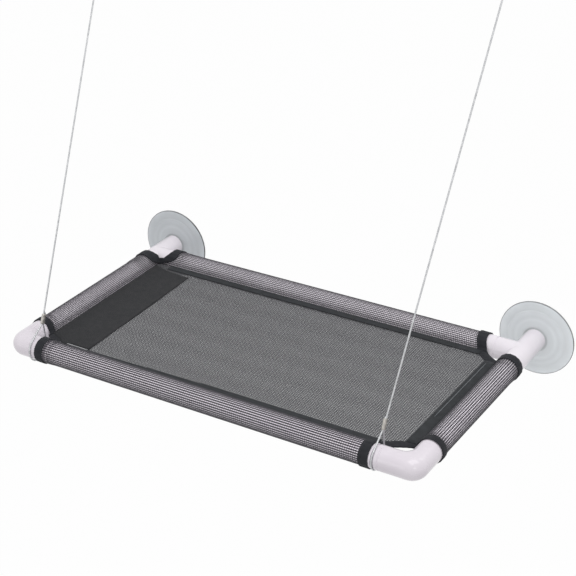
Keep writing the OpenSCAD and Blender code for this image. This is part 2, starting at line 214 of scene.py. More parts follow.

# The band across the bed's left end, from the tubes' axes: its left edge, both ends of its right edge, its
# front edge with a curve and a tuck, and its rear edge with a slant; then its height and thickness
BAND_LEFT = SEAM + 0.0002
BAND_RIGHT_FRONT = 0.0786
BAND_RIGHT_REAR = 0.0745
BAND_FRONT = 0.0250
BAND_FRONT_CURVE = 0.0100
BAND_FRONT_TUCK = 0.0042
BAND_REAR = 0.0233
BAND_REAR_SLANT = 0.0090
BAND_LIFT = 0.0008
BAND_T = 0.0006

# The camera that was fitted to the photograph: degrees, lens in millimetres, and place
CAMERA_AZIMUTH = 32.362
CAMERA_ELEVATION = 27.551
CAMERA_ROLL = -1.321
CAMERA_LENS = 92.42
CAMERA_PLACE = (1.0834, -1.4331, 0.8619)

# The studio: the surroundings' strength as light, the floor's own grey, its share of white where it is looked
# at, its size and place, the point that the lamps face, and each lamp's name, place, side and power in watts
WORLD_LIGHT = 0.66
FLOOR_GREY = 0.92
FLOOR_WHITE_SHARE = 0.97
FLOOR_SIZE = 30
FLOOR_PLACE = (0.26, 2.0, -2.0)
LAMP_TARGET = Vector((0.26, -0.18, 0))
LAMPS = (
    ("overhead", (0.80, -0.50, 1.9), 1.5, 17),
    ("right_front", (1.75, -1.50, 0.80), 0.22, 1.6),
    ("left_front", (-0.60, -1.90, 0.30), 0.90, 3),
    ("right_rear", (1.10, 0.80, 1.30), 0.50, 1.2),
)


# Camera at the photograph's viewing angle

def make_camera():
    azimuth = math.radians(CAMERA_AZIMUTH)
    elevation = math.radians(CAMERA_ELEVATION)
    roll = math.radians(CAMERA_ROLL)
    back = Vector((
        math.sin(azimuth) * math.cos(elevation),
        -math.cos(azimuth) * math.cos(elevation),
        math.sin(elevation),
    ))
    level = Vector((math.cos(azimuth), math.sin(azimuth), 0))
    upright = back.cross(level)
    across = math.cos(roll) * level + math.sin(roll) * upright
    up = -math.sin(roll) * level + math.cos(roll) * upright
    data = bpy.data.cameras.new("camera")
    data.sensor_width = 36
    data.lens = CAMERA_LENS
    data.clip_start = 0.05
    data.clip_end = 50
    camera = bpy.data.objects.new("camera", data)
    scene.collection.objects.link(camera)
    turn = Matrix((across, up, back)).transposed()
    camera.matrix_world = Matrix.Translation(CAMERA_PLACE) @ turn.to_4x4()
    scene.camera = camera


make_camera()


# Small helpers

def linear(hex_colour):
    """An sRGB hex colour as linear RGBA."""
    out = []
    for i in (1, 3, 5):
        c = int(hex_colour[i:i + 2], 16) / 255
        out.append(c / 12.92 if c <= 0.04045 else ((c + 0.055) / 1.055) ** 2.4)
    return (*out, 1.0)


def add(tree, kind, links=(), **settings):
    """Adds a node with its settings; links are pairs of an input and a value or another node's output."""
    made = tree.nodes.new(kind)
    for key, value in settings.items():
        setattr(made, key, value)
    for socket, value in links:
        if isinstance(value, bpy.types.NodeSocket):
            tree.links.new(value, made.inputs[socket])
        else:
            made.inputs[socket].default_value = value
    return made


def new_material(name):
    """A material with no nodes yet, and its node tree."""
    material = bpy.data.materials.new(name)
    material.use_nodes = True
    material.node_tree.nodes.clear()
    return material, material.node_tree


def new_mesh(name, points, faces):
    """A smooth piece from points and faces, with its faces turned outwards."""
    mesh = bpy.data.meshes.new(name)
    mesh.from_pydata([tuple(p) for p in points], [], faces)
    shape = bmesh.new()
    shape.from_mesh(mesh)
    bmesh.ops.recalc_face_normals(shape, faces=shape.faces)
    shape.to_mesh(mesh)
    shape.free()
    for polygon in mesh.polygons:
        polygon.use_smooth = True
    obj = bpy.data.objects.new(name, mesh)
    scene.collection.objects.link(obj)
    return obj


def select_only(*objects):
    bpy.ops.object.select_all(action="DESELECT")
    for obj in objects:
        obj.select_set(True)
    bpy.context.view_layer.objects.active = objects[0]


def coat(obj, material):
    obj.data.materials.clear()
    obj.data.materials.append(material)


def dress(obj, material, body):
    """Gives a new piece its material and the body that it moves with."""
    coat(obj, material)
    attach(obj, body)


# Materials

def mottle(tree, coords, size, low, high):
    """Two colours mixed in soft patches of the given size in metres."""
    noise = add(tree, "ShaderNodeTexNoise", [("Vector", coords), ("Scale", 1 / size), ("Detail", 3.0)])
    ramp = add(tree, "ShaderNodeValToRGB", [("Fac", noise.outputs["Fac"])])
    ramp.color_ramp.elements[0].position = 0.3
    ramp.color_ramp.elements[0].color = linear(low)
    ramp.color_ramp.elements[1].position = 0.7
    ramp.color_ramp.elements[1].color = linear(high)
    return ramp.outputs["Color"]


def moulded_plastic(name, low, high, roughness):
    """Injection moulded rigid plastic: glossy, with a faint mottle in patches of 30 mm and the mould's slight
    unevenness of 6 mm."""
    material, tree = new_material(name)
    coords = add(tree, "ShaderNodeTexCoord").outputs["Object"]
    colour = mottle(tree, coords, 0.03, low, high)
    uneven = add(tree, "ShaderNodeTexNoise", [("Vector", coords), ("Scale", 1 / 0.006), ("Detail", 2.0)])
    bump = add(tree, "ShaderNodeBump", [
        ("Height", uneven.outputs["Fac"]), ("Strength", 0.05), ("Distance", 0.001),
    ])
    shader = add(tree, "ShaderNodeBsdfPrincipled", [
        ("Base Color", colour), ("Normal", bump.outputs["Normal"]), ("Roughness", roughness), ("IOR", 1.53),
    ])
    add(tree, "ShaderNodeOutputMaterial", [("Surface", shader.outputs["BSDF"])])
    return material


# Rings of a cup's wall from its neck outwards: share of the radius, and brightness of the tint there. The
# dark ring is painted shade round the neck, the rings beyond paint the light and shade of ripples in the
# wall, the two brightest steps are a painted highlight inside the edge, and the last step paints the cut edge
# dark as shade
CUP_RINGS_OF_PAINTED_LIGHT = (
    (0.26, 1.0), (0.285, 0.58), (0.315, 0.58), (0.345, 0.94), (0.46, 0.94), (0.53, 1.04), (0.61, 0.92),
    (0.69, 1.02), (0.78, 0.95), (0.87, 1.02), (0.94, 1.10), (0.982, 1.14), (0.987, 0.05),
)


def clear_vinyl(name, centre, tint):
    """Soft clear vinyl, gone milky: painted shade round the neck, rings of painted light and shade, a painted
    highlight inside the edge, the cut edge painted dark as shade, and faint clouds of 20 mm."""
    material, tree = new_material(name)
    coords = add(tree, "ShaderNodeTexCoord").outputs["Object"]
    flat = add(tree, "ShaderNodeMapping", [
        ("Vector", coords), ("Location", (-centre[0], 0, -centre[1])), ("Scale", (1, 0, 1)),
    ])
    radius = add(tree, "ShaderNodeVectorMath", [(0, flat.outputs["Vector"])], operation="LENGTH")
    share = add(tree, "ShaderNodeMath", [(0, radius.outputs["Value"]), (1, 1 / CUP_R)], operation="MULTIPLY")
    # This ramp paints light and shade on the cup: the neck's shade, the rings, a highlight and the dark edge
    rings = add(tree, "ShaderNodeValToRGB", [("Fac", share.outputs[0])])
    stops = rings.color_ramp.elements
    while len(stops) < len(CUP_RINGS_OF_PAINTED_LIGHT):
        stops.new(0.5)
    base = linear(tint)
    for stop, (at, level) in zip(stops, CUP_RINGS_OF_PAINTED_LIGHT):
        stop.position = at
        stop.color = (*(min(1.0, level * c) for c in base[:3]), 1.0)
    clouds = add(tree, "ShaderNodeTexNoise", [("Vector", coords), ("Scale", 1 / 0.02), ("Detail", 4.0)])
    amount = add(tree, "ShaderNodeMapRange", [
        ("Value", clouds.outputs["Fac"]), ("From Min", 0.35), ("From Max", 0.70), ("To Max", 0.45),
    ])
    dull = (*(0.86 * c for c in base[:3]), 1.0)
    # Inputs 6 and 7 and output 2 are the mix node's colours
    haze = add(tree, "ShaderNodeMix", [
        ("Factor", amount.outputs[0]), (6, rings.outputs["Color"]), (7, dull),
    ], data_type="RGBA")
    bump = add(tree, "ShaderNodeBump", [
        ("Height", clouds.outputs["Fac"]), ("Strength", 0.15), ("Distance", 0.001),
    ])
    shader = add(tree, "ShaderNodeBsdfPrincipled", [
        ("Base Color", haze.outputs[2]), ("Normal", bump.outputs["Normal"]), ("Roughness", 0.28),
        ("IOR", 1.5), ("Transmission Weight", 0.7),
    ])
    add(tree, "ShaderNodeOutputMaterial", [("Surface", shader.outputs["BSDF"])])
    return material


def coated_yarn():
    """Vinyl-coated polyester yarn: dark grey, half matt, each thread a little lighter or darker."""
    material, tree = new_material("vinyl_coated_yarn")
    tone = add(tree, "ShaderNodeAttribute", attribute_name="tone")
    ramp = add(tree, "ShaderNodeValToRGB", [("Fac", tone.outputs["Fac"])])
    ramp.color_ramp.elements[0].color = linear("#343038")
    ramp.color_ramp.elements[1].color = linear("#6C6D6F")
    shader = add(tree, "ShaderNodeBsdfPrincipled", [
        ("Base Color", ramp.outputs["Color"]), ("Roughness", 0.55), ("Specular IOR Level", 0.3),
    ])
    add(tree, "ShaderNodeOutputMaterial", [("Surface", shader.outputs["BSDF"])])
    return material


def woven_tape(name, low, high, rib):
    """Woven polyester: matt with a slight bloom, faintly patchy every 8 mm, and with ribs across its length.
    The ribs are drawn wider than the real ones, which would not show."""
    material, tree = new_material(name)
    coords = add(tree, "ShaderNodeTexCoord").outputs
    colour = mottle(tree, coords["Object"], 0.008, low, high)
    # The wave texture's bands are 0.314 apart at a scale of 1, a twentieth of a full turn
    ribs = add(tree, "ShaderNodeTexWave", [("Vector", coords["UV"]), ("Scale", 0.314 / rib)],
               wave_type="BANDS", bands_direction="X")
    bump = add(tree, "ShaderNodeBump", [
        ("Height", ribs.outputs["Fac"]), ("Strength", 0.4), ("Distance", 0.0004),
    ])
    shader = add(tree, "ShaderNodeBsdfPrincipled", [
        ("Base Color", colour), ("Normal", bump.outputs["Normal"]), ("Roughness", 0.8),
        ("Specular IOR Level", 0.15), ("Sheen Weight", 0.05),
    ])
    add(tree, "ShaderNodeOutputMaterial", [("Surface", shader.outputs["BSDF"])])
    return material


def wire_rope():
    """Galvanised steel wire rope: grey, half bright, a little uneven every 4 mm."""
    material, tree = new_material("galvanised_wire_rope")
    coords = add(tree, "ShaderNodeTexCoord").outputs["Object"]
    colour = mottle(tree, coords, 0.004, "#B4B5B7", "#D0D1D3")
    shader = add(tree, "ShaderNodeBsdfPrincipled", [
        ("Base Color", colour), ("Metallic", 0.85), ("Roughness", 0.42),
    ])
    add(tree, "ShaderNodeOutputMaterial", [("Surface", shader.outputs["BSDF"])])
    return material


def crimped_aluminium():
    """Soft aluminium pressed in a tool: dull, patchy every 3 mm, with marks of 0.6 mm. The marks are drawn
    coarser than the real ones, which would not show."""
    material, tree = new_material("crimped_aluminium")
    coords = add(tree, "ShaderNodeTexCoord").outputs["Object"]
    colour = mottle(tree, coords, 0.003, "#A8A5A0", "#C6C2BC")
    marks = add(tree, "ShaderNodeTexNoise", [("Vector", coords), ("Scale", 1 / 0.0006), ("Detail", 3.0)])
    bump = add(tree, "ShaderNodeBump", [
        ("Height", marks.outputs["Fac"]), ("Strength", 0.25), ("Distance", 0.0003),
    ])
    shader = add(tree, "ShaderNodeBsdfPrincipled", [
        ("Base Color", colour), ("Normal", bump.outputs["Normal"]), ("Metallic", 0.8), ("Roughness", 0.45),
    ])
    add(tree, "ShaderNodeOutputMaterial", [("Surface", shader.outputs["BSDF"])])
    return material


# The tees' PVC is painted a little lighter than the elbows', as painted light against the shade of the
# sleeves and rings round them, and the tubes', which show only between threads, lighter still against the
# threads' shade
ELBOW_PVC = moulded_plastic("moulded_white_pvc", "#DAD3DB", "#E0DAE1", 0.19)
TEE_PVC_PAINTED_LIGHTER = moulded_plastic("moulded_white_pvc_painted_lighter_for_the_tees", "#E5DFE6", "#EAE5EB", 0.19)
TUBE_PVC_PAINTED_LIGHTER = moulded_plastic("extruded_white_pvc_painted_lighter", "#F2EBF4", "#F7F1F9", 0.35)
ABS = moulded_plastic("moulded_white_abs", "#DCDADE", "#E3E1E5", 0.38)
YARN = coated_yarn()
BINDING = woven_tape("polyester_bias_binding", "#26272B", "#2F3034", 0.0012)
TAPE = woven_tape("polyester_webbing_tape", "#2E3032", "#36383B", 0.0016)
BAND = woven_tape("oxford_polyester", "#2B2C2E", "#323234", 0.0010)
PIPING = woven_tape("polyester_piping_cord", "#66696C", "#777A7D", 0.0010)
# Light grey cord along the band's front edge: a painted highlight
EDGE_HIGHLIGHT_CORD = woven_tape("painted_highlight_cord", "#9A9B9D", "#ABACAE", 0.0010)
THREAD = woven_tape("polyester_sewing_thread", "#3A3B3E", "#45464A", 0.0006)
ROPE = wire_rope()
CRIMP_METAL = crimped_aluminium()
# The left cups' tint is painted darker than the right ones', as painted shade on the same vinyl
LEFT_CUP_SHADED_TINT = "#CED2D6"
RIGHT_CUP_LIT_TINT = "#E8ECEF"

for node in ("left_elbow", "right_elbow"):
    coat(nodes[node], ELBOW_PVC)
# The tees take the PVC painted lighter against the shade round them
for node in ("left_tee", "right_tee"):
    coat(nodes[node], TEE_PVC_PAINTED_LIGHTER)
# The tubes take the PVC painted lighter against the shade between threads
for node in ("front_tube", "rear_tube", "left_tube", "right_tube"):
    coat(nodes[node], TUBE_PVC_PAINTED_LIGHTER)
for node in ("left_stub_plug", "right_stub_plug", "upper_left_knob", "upper_right_knob"):
    coat(nodes[node], ABS)
# The left cups take the tint painted darker as shade, the right ones the lit tint
for node, x, z, tint in (
    ("lower_left_cup", 0, 0, LEFT_CUP_SHADED_TINT),
    ("lower_right_cup", RIGHT, 0, RIGHT_CUP_LIT_TINT),
    ("upper_left_cup", UPPER_IN, UPPER_H, LEFT_CUP_SHADED_TINT),
    ("upper_right_cup", RIGHT - UPPER_IN, UPPER_H, RIGHT_CUP_LIT_TINT),
):
    coat(nodes[node], clear_vinyl("soft_clear_vinyl_" + node, (x, z), tint))


# Cables: the route of the source, and a rope of six strands along it

def cable_loop(centre, a, b, radius):
    """Tail, round the circle and out again, in the plane of the directions a and b."""
    turn = math.acos(radius / FERRULE_OUT)
    line = [
        centre + (FERRULE_OUT + FERRULE_L + WIRE_TAIL) * a - STRAND_OFF * b,
        centre + FERRULE_OUT * a - STRAND_OFF * b,
    ]
    for i in range(LOOP_STEPS + 1):
        w = -turn - i * (2 * math.pi - 2 * turn) / LOOP_STEPS
        line.append(centre + radius * (math.cos(w) * a + math.sin(w) * b))
    line.append(centre + FERRULE_OUT * a + STRAND_OFF * b)
    line.append(centre + (FERRULE_OUT + FERRULE_L) * a + STRAND_OFF * b)
    return line


def spaced(route, step):
    """The same route with points no further apart than step."""
    line = [route[0]]
    for a, b in zip(route, route[1:]):
        count = max(1, math.ceil((b - a).length / step))
        for i in range(1, count + 1):
            line.append(a.lerp(b, i / count))
    return line


def route_length(line):
    return sum((b - a).length for a, b in zip(line, line[1:]))


def rope(name, line):
    """Strands laid round a core: one lobed section, turned once in every lay."""
    points = []
    faces = []
    normal = Vector((1, 0.3, 0.2))
    gone = 0.0
    for i, p in enumerate(line):
        ahead = (line[min(i + 1, len(line) - 1)] - line[max(i - 1, 0)]).normalized()
        normal = (normal - normal.dot(ahead) * ahead).normalized()
        other = ahead.cross(normal)
        if i:
            gone += (p - line[i - 1]).length
        for k in range(ROPE_SIDES):
            w = 2 * math.pi * k / ROPE_SIDES
            r = WIRE_R * (1 - ROPE_GROOVE * (1 - math.cos(ROPE_STRANDS * w)))
            t = w + 2 * math.pi * gone / ROPE_LAY
            points.append(p + r * (math.cos(t) * normal + math.sin(t) * other))
    for i in range(len(line) - 1):
        for k in range(ROPE_SIDES):
            a = i * ROPE_SIDES + k
            b = i * ROPE_SIDES + (k + 1) % ROPE_SIDES
            faces.append((a, b, b + ROPE_SIDES, a + ROPE_SIDES))
    last = (len(line) - 1) * ROPE_SIDES
    faces.append(tuple(range(ROPE_SIDES)))
    faces.append(tuple(range(last, last + ROPE_SIDES)))
    return new_mesh(name, points, faces)


def crimped_ferrule(name, node, body, start, axis, wide):
    """An oval sleeve pressed twice over the two strands."""
    bpy.ops.object.select_all(action="DESELECT")
    bpy.ops.mesh.primitive_circle_add(vertices=FERRULE_SIDES, radius=1, fill_type="NGON")
    ferrule = bpy.context.object
    ferrule.name = name
    bpy.ops.object.mode_set(mode="EDIT")
    bpy.ops.mesh.select_all(action="SELECT")
    _, first_w, first_t = FERRULE_STATIONS[0]
    bpy.ops.transform.resize(value=(FERRULE_HALF_W * first_w, FERRULE_HALF_T * first_t, 1))
    for (z0, w0, t0), (z1, w1, t1) in zip(FERRULE_STATIONS, FERRULE_STATIONS[1:]):
        bpy.ops.mesh.extrude_region_move(TRANSFORM_OT_translate={"value": (0, 0, z1 - z0)})
        bpy.ops.transform.resize(value=(w1 / w0, t1 / t0, 1), center_override=(0, 0, z1))
    bpy.ops.mesh.select_all(action="SELECT")
    bpy.ops.mesh.normals_make_consistent(inside=False)
    bpy.ops.object.mode_set(mode="OBJECT")
    across = axis.cross(wide)
    turn = Matrix((wide, across, axis)).transposed()
    ferrule.matrix_world = Matrix.Translation(start) @ turn.to_4x4()
    bpy.ops.object.transform_apply(location=True, rotation=True, scale=True)
    bpy.ops.object.shade_smooth_by_angle(angle=math.radians(50))
    ferrule.select_set(False)
    dress(ferrule, CRIMP_METAL, body)
    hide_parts(node)
    return ferrule


def make_cable(side, low, top, low_radius, hand):
    """A cable from the elbow's arm at low to the knob at top, with its loops and two ferrules; hand, 1 or -1,
    is the way that its loops turn."""
    lean = math.atan2(top.y - low.y, top.z)
    up = Vector((0, math.sin(lean), math.cos(lean)))
    low_side = hand * Vector((0, -up.z, up.y))
    down = (low - top).normalized()
    across = hand * Vector((down.y, -down.x, 0)).normalized()
    top_radius = KNOB_LOOP_R / math.cos(lean) / LOOP_SLACK
    low_loop = cable_loop(low, up, low_side, low_radius / LOOP_SLACK)
    top_loop = cable_loop(top, down, across, top_radius)
    line = spaced(low_loop + top_loop[::-1], ROPE_STEP)
    body = side + "_cable_line"
    cable = rope(side + "_wire_rope", line)
    dress(cable, ROPE, body)
    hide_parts(side + "_cable")
    lower = crimped_ferrule(
        side + "_lower_crimp", side + "_lower_ferrule", body, low + FERRULE_OUT * up, up, low_side,
    )
    upper = crimped_ferrule(
        side + "_upper_crimp", side + "_upper_ferrule", body, top + FERRULE_OUT * down, down, across,
    )
    round(route_length(line), 3)
    [tuple(p) for p in line]


make_cable(
    "left", Vector((LEFT_LOOP, FRONT, 0)), Vector((UPPER_IN, -UPPER_EYE, UPPER_H)), LEFT_LOOP_R, 1,
)
make_cable(
    "right", Vector((RIGHT - RIGHT_LOOP, FRONT, 0)), Vector((RIGHT - UPPER_IN, -UPPER_EYE, UPPER_H)),
    RIGHT_LOOP_R, -1,
)


# Sleeve section: round the tube, drawn to a seam on the bed's side, then a hem under the bed

def on_tube(side, s, inward, height):
    """A point in the frame: s along the tube, inward from its axis and above it."""
    if side == "front":
        return Vector((s, FRONT + inward, height))
    if side == "rear":
        return Vector((s, REAR - inward, height))
    if side == "left":
        return Vector((inward, s, height))
    return Vector((RIGHT - inward, s, height))


def from_corner(side, corner, s):
    """Where along a tube the distance s from a corner is."""
    if side in ("front", "rear"):
        return s if corner[1] == "l" else RIGHT - s
    return FRONT + s if corner[0] == "f" else REAR - s


def cloth_radius(side, s):
    """The cloth lies on the tube, and further out on the thicker arms of the fittings."""
    first, last = (0.0, RIGHT) if side in ("front", "rear") else (FRONT, REAR)
    near = min(s - first, last - s)
    share = min(max((ARM_L + STEP_DOWN - near) / STEP_DOWN, 0.0), 1.0)
    share = share * share * (3 - 2 * share)
    return TUBE_CLOTH_R + (FITTING_CLOTH_R - TUBE_CLOTH_R) * share


def loop_length(radius):
    """Way round the tube from the seam back to the seam."""
    turn = math.acos(radius / SEAM)
    return 2 * radius * math.tan(turn) + radius * (2 * math.pi - 2 * turn)


def section(share, radius):
    """Point and outward direction at a share of the way round, from the seam over the tube and back."""
    turn = math.acos(radius / SEAM)
    straight = radius * math.tan(turn)
    v = share * loop_length(radius)
    arc = radius * (2 * math.pi - 2 * turn)
    if v < straight:
        out = Vector((math.cos(turn), math.sin(turn)))
        at = AT_SEAM.lerp(radius * out, v / straight)
    elif v > straight + arc:
        out = Vector((math.cos(turn), -math.sin(turn)))
        at = (radius * out).lerp(AT_SEAM, min(1.0, (v - straight - arc) / straight))
    else:
        angle = turn + (v - straight) / radius
        out = Vector((math.cos(angle), math.sin(angle)))
        at = radius * out
    return at, out


def ring_reach(ring, at, w):
    """Distance from the corner at w across a ring; the ring is pulled to the corner at its inner side,
    and stays outside the fitting that crosses there."""
    edge, slant, width, crotch = RINGS[ring]
    rise = 1.0 if at.x < 0 else abs(at.y) / at.length
    first = edge + slant * rise
    last = first + width
    room = math.sqrt(max(FITTING_ROOM ** 2 - at.y ** 2, 0.0))
    if crotch:
        filled = min(max((crotch - rise) / CROTCH_FADE, 0.0), 1.0)
        first += (room - first) * filled
        last = SEAM + (edge + slant + width - SEAM) * (1 - (1 - rise) ** 2.5)
    first = max(first, room)
    last = max(last, first + RING_LEAST_W)
    return first + (last - first) * w / width


def ring_middle(ring, at):
    """Distance from the corner to the middle of a ring's width."""
    return ring_reach(ring, at, RINGS[ring].width / 2)


# Woven cloth: straight threads one way, crimped threads the other way, over one and under the next

def weave(name, cloth, long, wide, place, long_steps):
    """place(u, v, h) gives a point from shares u and v of the length and width, and a height h."""
    rows = round(wide / cloth.pitch)
    columns = round(long / cloth.pitch)
    points = []
    faces = []
    tones = []

    def thread(rings, tone):
        first = len(points)
        for ring in rings:
            points.extend(ring)
        tones.extend([tone] * (4 * len(rings)))
        for i in range(len(rings) - 1):
            for k in range(4):
                a = first + 4 * i + k
                b = first + 4 * i + (k + 1) % 4
                faces.append((a, b, b + 4, a + 4))
        last = first + 4 * (len(rings) - 1)
        faces.append((first, first + 1, first + 2, first + 3))
        faces.append((last, last + 1, last + 2, last + 3))

    def pick(span, seed):
        darkest, lightest = span
        return darkest + (lightest - darkest) * (0.5 + 0.5 * math.sin(seed))

    half_v = cloth.straight_w / 2 / wide
    half_u = cloth.crimped_w / 2 / long
    half_t = cloth.straight_t / 2
    for j in range(rows):
        v = (j + 0.5) / rows
        rings = []
        for i in range(long_steps + 1):
            u = i / long_steps
            rings.append([
                place(u, v - half_v, -half_t), place(u, v + half_v, -half_t),
                place(u, v + half_v, half_t), place(u, v - half_v, half_t),
            ])
        thread(rings, pick(cloth.straight_tones, j * 12.9898))
    half_t = cloth.crimped_t / 2
    for i in range(columns):
        u = (i + 0.5) / columns
        rings = []
        for j in range(-1, rows + 1):
            v = min(max((j + 0.5) / rows, 0.0), 1.0)
            h = cloth.crimp if (i + j) % 2 else -cloth.crimp
            rings.append([
                place(u - half_u, v, h - half_t), place(u - half_u, v, h + half_t),
                place(u + half_u, v, h + half_t), place(u + half_u, v, h - half_t),
            ])
        thread(rings, pick(cloth.crimped_tones, i * 78.233))
    obj = new_mesh(name, points, faces)
    tone = obj.data.attributes.new("tone", "FLOAT", "POINT")
    tone.data.foreach_set("value", tones)
    return obj


def make_sleeve(side):
    """A sleeve between two corners; each end is hidden under the middle of its ring."""
    first_corner, last_corner = SLEEVES[side]
    first_ring = (first_corner, side)
    last_ring = (last_corner, side)
    girth = loop_length(TUBE_CLOTH_R)
    wide = girth + HEM

    def ends(at):
        return (from_corner(side, first_corner, ring_middle(first_ring, at)),
                from_corner(side, last_corner, ring_middle(last_ring, at)))

    def place(u, v, h):
        run = min(max(v, 0.0), 1.0) * wide
        share = min(run / girth, 1.0)
        at, _ = section(share, TUBE_CLOTH_R)
        first, last = ends(at)
        s = first + (last - first) * u
        if run > girth:
            under = run - girth
            drop = HEM_DROP * min(1.0, under / HEM_DROP_RUN)
            return on_tube(side, s, SEAM + under, -drop - h)
        at, out = section(share, cloth_radius(side, s))
        p = at + h * out
        return on_tube(side, s, p.x, p.y)

    first, last = ends(TOP)
    long = abs(last - first)
    sleeve = weave(side + "_mesh_sleeve", SLEEVE_CLOTH[side], long, wide, place, SLEEVE_STEPS)
    dress(sleeve, YARN, "frame")
    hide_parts(side + "_sleeve")


for side in SLEEVES:
    make_sleeve(side)


# Bed: the same yarn, flat between the seams, with its corners cut away under the bindings

BED_L = RIGHT - 2 * SEAM
BED_W = REAR - FRONT - 2 * SEAM


def bed_height(x, y):
    """The bed hangs a little in the middle."""
    u = (x - SEAM) / BED_L
    v = (y - FRONT - SEAM) / BED_W
    return -BED_SAG * max(0.0, 16 * u * (1 - u) * v * (1 - v))


def bed_corner(corner, a, b):
    """A point of the bed's plane, a along the front or rear tube and b along the side tube from a corner."""
    return Vector((from_corner("front", corner, a), from_corner("left", corner, b), 0))


def corner_rings(corner):
    """The two rings at a corner: on the front or rear sleeve, and on the left or right one."""
    along = "front" if corner[0] == "f" else "rear"
    across = "left" if corner[1] == "l" else "right"
    return (corner, along), (corner, across)


def cut_ends(corner):
    """Distances from the corner, along its two tubes, at which the cut meets the middle of each ring."""
    return [ring_middle(ring, AT_SEAM) for ring in corner_rings(corner)]


def make_bed():
    def place(u, v, h):
        x = SEAM + u * BED_L
        y = FRONT + SEAM + v * BED_W
        return Vector((x, y, h + bed_height(x, y)))

    bed = weave("woven_mesh_bed", BED_CLOTH, BED_L, BED_W, place, BED_STEPS)
    select_only(bed)
    bpy.ops.object.mode_set(mode="EDIT")
    for corner in BINDING_NODES:
        a, b = [max(end, SEAM + BED_CUT_LEAST) for end in cut_ends(corner)]
        start = bed_corner(corner, a, SEAM)
        line = bed_corner(corner, SEAM, b) - start
        outward = Vector((line.y, -line.x, 0)).normalized()
        if outward.dot(bed_corner(corner, 0, 0) - start) < 0:
            outward = -outward
        bpy.ops.mesh.select_all(action="SELECT")
        bpy.ops.mesh.bisect(plane_co=start, plane_no=outward, use_fill=True, clear_outer=True)
    bpy.ops.object.mode_set(mode="OBJECT")
    bed.select_set(False)
    dress(bed, YARN, "frame")
    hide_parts("mesh_bed")
    return bed


bed = make_bed()


# Tapes and bindings: rows of points round a flat section with round edges

def tape_outline(width, thick):
    """Outline of a tape: across its width from 0 and through its thickness from 0, with round edges."""
    edge = 0.45 * thick
    outline = []
    for w, t, start in ((width - edge, edge, -90), (width - edge, thick - edge, 0),
                        (edge, thick - edge, 90), (edge, edge, 180)):
        for k in range(4):
            angle = math.radians(start + 30 * k)
            outline.append((w + edge * math.cos(angle), t + edge * math.sin(angle)))
    return outline


def shell(name, rows, outline, closed):
    """A tape from rows of points, each row one turn of the outline; its UV map is in metres."""
    count = len(outline)
    faces = []
    turns = len(rows) if closed else len(rows) - 1
    for i in range(turns):
        nxt = (i + 1) % len(rows)
        for k in range(count):
            m = (k + 1) % count
            faces.append((i * count + k, i * count + m, nxt * count + m, nxt * count + k))
    if not closed:
        faces.append(tuple(range(count)))
        faces.append(tuple(range((len(rows) - 1) * count, len(rows) * count)))
    obj = new_mesh(name, [p for row in rows for p in row], faces)
    run = [0.0]
    for a, b in zip(rows, rows[1:]):
        run.append(run[-1] + (b[0] - a[0]).length)
    uv = obj.data.uv_layers.new(name="UVMap")
    for loop in obj.data.loops:
        row = loop.vertex_index // count
        uv.data[loop.index].uv = (run[row], outline[loop.vertex_index % count][0])
    return obj


def join(name, parts):
    select_only(*parts)
    bpy.ops.object.join()
    parts[0].select_set(False)
    parts[0].name = name
    return parts[0]


# All stitches become one piece, once every row is sewn
stitch_points = []
stitch_faces = []


def sew(path, normals):
    """A row of stitches along a path: each is a short round thread that dips in at both ends."""
    run = [0.0]
    for a, b in zip(path, path[1:]):
        run.append(run[-1] + (b - a).length)

    def at(s):
        i = 0
        while i < len(run) - 2 and run[i + 1] < s:
            i += 1
        share = (s - run[i]) / (run[i + 1] - run[i])
        return path[i].lerp(path[i + 1], share), normals[i].lerp(normals[i + 1], share).normalized()

    for n in range(int(run[-1] / STITCH_PITCH)):
        s = (n + 0.5) * STITCH_PITCH
        tip, normal = at(s - STITCH_L / 2)
        end, _ = at(s + STITCH_L / 2)
        ahead = (end - tip).normalized()
        side = ahead.cross(normal)
        first = len(stitch_points)
        stitch_points.append(tip - 0.5 * STITCH_R * normal)
        for share in (0.25, 0.75):
            middle = tip.lerp(end, share)
            for w, t in ((1, 0), (0, 1), (-1, 0), (0, -1)):
                stitch_points.append(middle + STITCH_R * (w * side + (t + 0.3) * normal))
        stitch_points.append(end - 0.5 * STITCH_R * normal)
        for k in range(4):
            m = (k + 1) % 4
            stitch_faces.append((first, first + 1 + k, first + 1 + m))
            stitch_faces.append((first + 1 + k, first + 5 + k, first + 5 + m, first + 1 + m))
            stitch_faces.append((first + 5 + k, first + 9, first + 5 + m))


def ring_point(ring, share, w, t):
    """A point of a ring: a share of the way round, w across its width and t through its thickness. The sewn
    tape puckers a little."""
    corner, side = ring
    middle = from_corner(side, corner, ring_middle(ring, TOP))
    at, out = section(share, cloth_radius(side, middle))
    round_angle = 2 * math.pi * share
    pucker = 0.00014 * math.sin(17 * round_angle) + 0.0001 * math.sin(41 * round_angle + w * 400)
    p = at + (RING_LIFT + t + pucker) * out
    return on_tube(side, from_corner(side, corner, ring_reach(ring, at, w)), p.x, p.y)


def make_ring(ring):
    """A folded tape round a sleeve's end, with a row of stitches near its inner edge."""
    width = RINGS[ring].width
    outline = tape_outline(width, RING_T)
    rows = []
    for i in range(RING_STEPS):
        share = (i + 0.5) / RING_STEPS
        rows.append([ring_point(ring, share, w, t) for w, t in outline])
    path = []
    normals = []
    for i in range(RING_STEPS + 1):
        # The stitches stop short of the seam
        share = 0.04 + 0.92 * i / RING_STEPS
        low = ring_point(ring, share, width - BINDING_SEAM_IN, 0)
        high = ring_point(ring, share, width - BINDING_SEAM_IN, RING_T)
        path.append(high)
        normals.append((high - low).normalized())
    sew(path, normals)
    return shell("ring", rows, outline, True)


